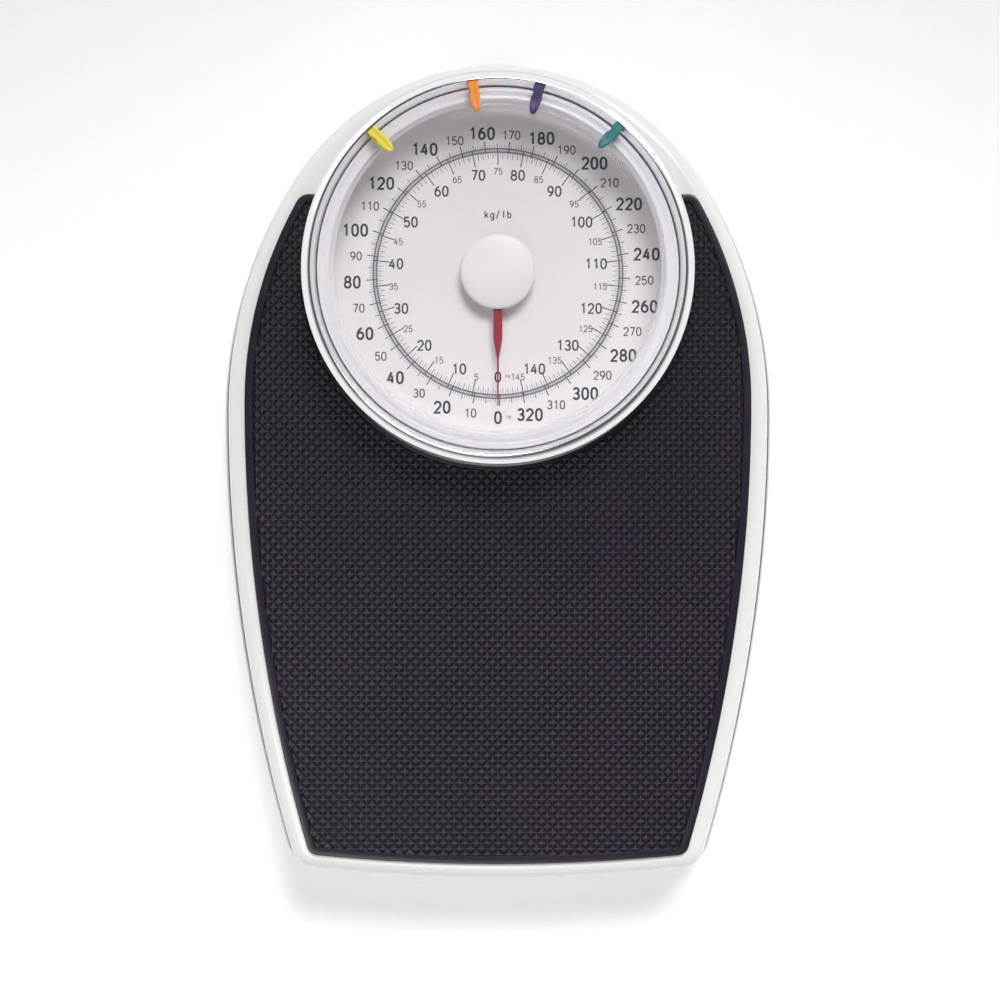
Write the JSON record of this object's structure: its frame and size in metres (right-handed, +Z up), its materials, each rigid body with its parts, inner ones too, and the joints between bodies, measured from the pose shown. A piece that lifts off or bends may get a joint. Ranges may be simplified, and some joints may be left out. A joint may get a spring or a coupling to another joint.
{
  "type": "mechanical dial platform scale",
  "caption": "Lever-and-spring platform scale: white steel body, ribbed rubber mat, and a raised chrome-rimmed dial with a red pointer and sliding weight markers.",
  "frame": {"origin": "centre of the footprint, on the floor under the rubber feet", "axes": "+Y from the user's heels towards the dial, +Z up, +X to the user's right"},
  "size_m": [0.3026, 0.45, 0.0899],
  "materials": {
    "white_enamel": "gloss stoved enamel on pressed steel",
    "black_rubber": "moulded, satin",
    "zinc_steel": "bright zinc plate",
    "plain_steel": "ground steel",
    "brass": "satin brass",
    "housing_plastic": "moulded white plastic",
    "dial_print": "matt printed disc",
    "chrome": "polished chrome",
    "clear_lens": "clear moulded lens",
    "pointer_red": "satin red paint",
    "hub_white": "satin white plastic",
    "wheel_plastic": "moulded dark plastic",
    "marker_yellow": "moulded plastic",
    "marker_orange": "moulded plastic",
    "marker_purple": "moulded plastic",
    "marker_teal": "moulded plastic"
  },
  "bodies": {
    "base": {"base_pan": "white_enamel", "rubber_feet": "black_rubber", "foot_rivets": "plain_steel", "fulcrum_brackets": "zinc_steel", "bracket_rivets": "plain_steel", "spring_tower": "zinc_steel", "tower_screws": "plain_steel", "crank_bracket": "zinc_steel", "crank_pin": "plain_steel", "movement_bridge": "zinc_steel", "bridge_screws": "plain_steel", "rack_guides": "brass", "spindle_cock": "brass", "spindle_bushes": "brass"},
    "platform": {"platform_cover": "white_enamel", "platform_mat": "black_rubber", "load_hangers": "zinc_steel", "hanger_rivets": "plain_steel", "dial_housing": "housing_plastic", "housing_screws": "plain_steel", "dial_face": "dial_print", "chrome_bezel": "chrome", "dial_lens": "clear_lens"},
    "long_lever_left": {"long_lever_left": "zinc_steel", "long_pins_left": "plain_steel"},
    "long_lever_right": {"long_lever_right": "zinc_steel", "long_pins_right": "plain_steel"},
    "short_lever_left": {"short_lever_left": "zinc_steel", "short_pins_left": "plain_steel"},
    "short_lever_right": {"short_lever_right": "zinc_steel", "short_pins_right": "plain_steel"},
    "calibration_plate": {"calibration_plate": "zinc_steel", "lower_spring_plug": "plain_steel", "main_spring": "plain_steel"},
    "spring_anchor": {"spring_anchor": "plain_steel"},
    "adjuster": {"adjusting_screw": "plain_steel", "zero_wheel": "wheel_plastic"},
    "bell_crank": {"bell_crank": "brass"},
    "rack": {"rack": "plain_steel", "rack_pin": "plain_steel", "rack_spring": "plain_steel"},
    "pointer": {"pinion_spindle": "brass", "pointer": "pointer_red", "hub_cap": "hub_white"},
    "marker_yellow": {"marker_yellow": "marker_yellow"},
    "marker_orange": {"marker_orange": "marker_orange"},
    "marker_purple": {"marker_purple": "marker_purple"},
    "marker_teal": {"marker_teal": "marker_teal"}
  },
  "joints": [
    {"name": "pointer_turn", "type": "hinge", "parent": "base", "child": "pointer", "pos_m": [0, 0.1055, 0.06], "axis": [0, 0, 1], "range_deg": [-355, 0]},
    {"name": "rack_slide", "type": "slide", "parent": "base", "child": "rack", "axis": [0, 1, 0], "range_m": [0, 0.01862], "deforming": ["rack_spring"]},
    {"name": "crank_turn", "type": "hinge", "parent": "base", "child": "bell_crank", "pos_m": [0, 0.176, 0.022], "axis": [1, 0, 0], "range_deg": [-41.93, 0]},
    {"name": "plate_drop", "type": "slide", "parent": "base", "child": "calibration_plate", "axis": [0, 0, -1], "range_m": [0, 0.01], "stiffness_N_per_m": 11300, "springref_m": -0.002, "deforming": ["main_spring"]},
    {"name": "long_lever_left_tilt", "type": "hinge", "parent": "base", "child": "long_lever_left", "pos_m": [0, -0.185, 0.022], "axis": [1, 0, 0], "range_deg": [-1.53, 0]},
    {"name": "long_lever_right_tilt", "type": "hinge", "parent": "base", "child": "long_lever_right", "pos_m": [0, -0.185, 0.022], "axis": [1, 0, 0], "range_deg": [-1.53, 0]},
    {"name": "short_lever_left_tilt", "type": "hinge", "parent": "base", "child": "short_lever_left", "pos_m": [0, 0.15, 0.022], "axis": [1, 0, 0], "range_deg": [0, 1.53]},
    {"name": "short_lever_right_tilt", "type": "hinge", "parent": "base", "child": "short_lever_right", "pos_m": [0, 0.15, 0.022], "axis": [1, 0, 0], "range_deg": [0, 1.53]},
    {"name": "platform_sink", "type": "slide", "parent": "base", "child": "platform", "axis": [0, 0, -1], "range_m": [0, 0.00074816]},
    {"name": "zero_wheel_turn", "type": "hinge", "parent": "base", "child": "adjuster", "pos_m": [0, 0.203, 0.01], "axis": [0, 0, 1], "range_deg": [-360, 360]},
    {"name": "anchor_lift", "type": "slide", "parent": "base", "child": "spring_anchor", "axis": [0, 0, 1], "range_m": [-0.001, 0.001], "deforming": ["main_spring"]},
    {"name": "marker_yellow_turn", "type": "hinge", "parent": "platform", "child": "marker_yellow", "pos_m": [0, 0.1055, 0.08], "axis": [0, 0, 1], "range_deg": [-13, 115]},
    {"name": "marker_orange_turn", "type": "hinge", "parent": "platform", "child": "marker_orange", "pos_m": [0, 0.1055, 0.08], "axis": [0, 0, 1], "range_deg": [-7.5, 16]},
    {"name": "marker_purple_turn", "type": "hinge", "parent": "platform", "child": "marker_purple", "pos_m": [0, 0.1055, 0.08], "axis": [0, 0, 1], "range_deg": [-13, 7]},
    {"name": "marker_teal_turn", "type": "hinge", "parent": "platform", "child": "marker_teal", "pos_m": [0, 0.1055, 0.08], "axis": [0, 0, 1], "range_deg": [-115, 10]}
  ],
  "couplings": [
    {"joint": "pointer_turn", "follows": "plate_drop", "rad_per_m": -619.53},
    {"joint": "rack_slide", "follows": "plate_drop", "ratio": 1.8586},
    {"joint": "crank_turn", "follows": "plate_drop", "rad_per_m": -73.034},
    {"joint": "long_lever_left_tilt", "follows": "plate_drop", "rad_per_m": -2.6665},
    {"joint": "long_lever_right_tilt", "follows": "plate_drop", "rad_per_m": -2.6665},
    {"joint": "short_lever_left_tilt", "follows": "plate_drop", "rad_per_m": 2.6665},
    {"joint": "short_lever_right_tilt", "follows": "plate_drop", "rad_per_m": 2.6665},
    {"joint": "platform_sink", "follows": "plate_drop", "ratio": 0.074659},
    {"joint": "anchor_lift", "follows": "zero_wheel_turn", "m_per_rad": 0.000159}
  ]
}
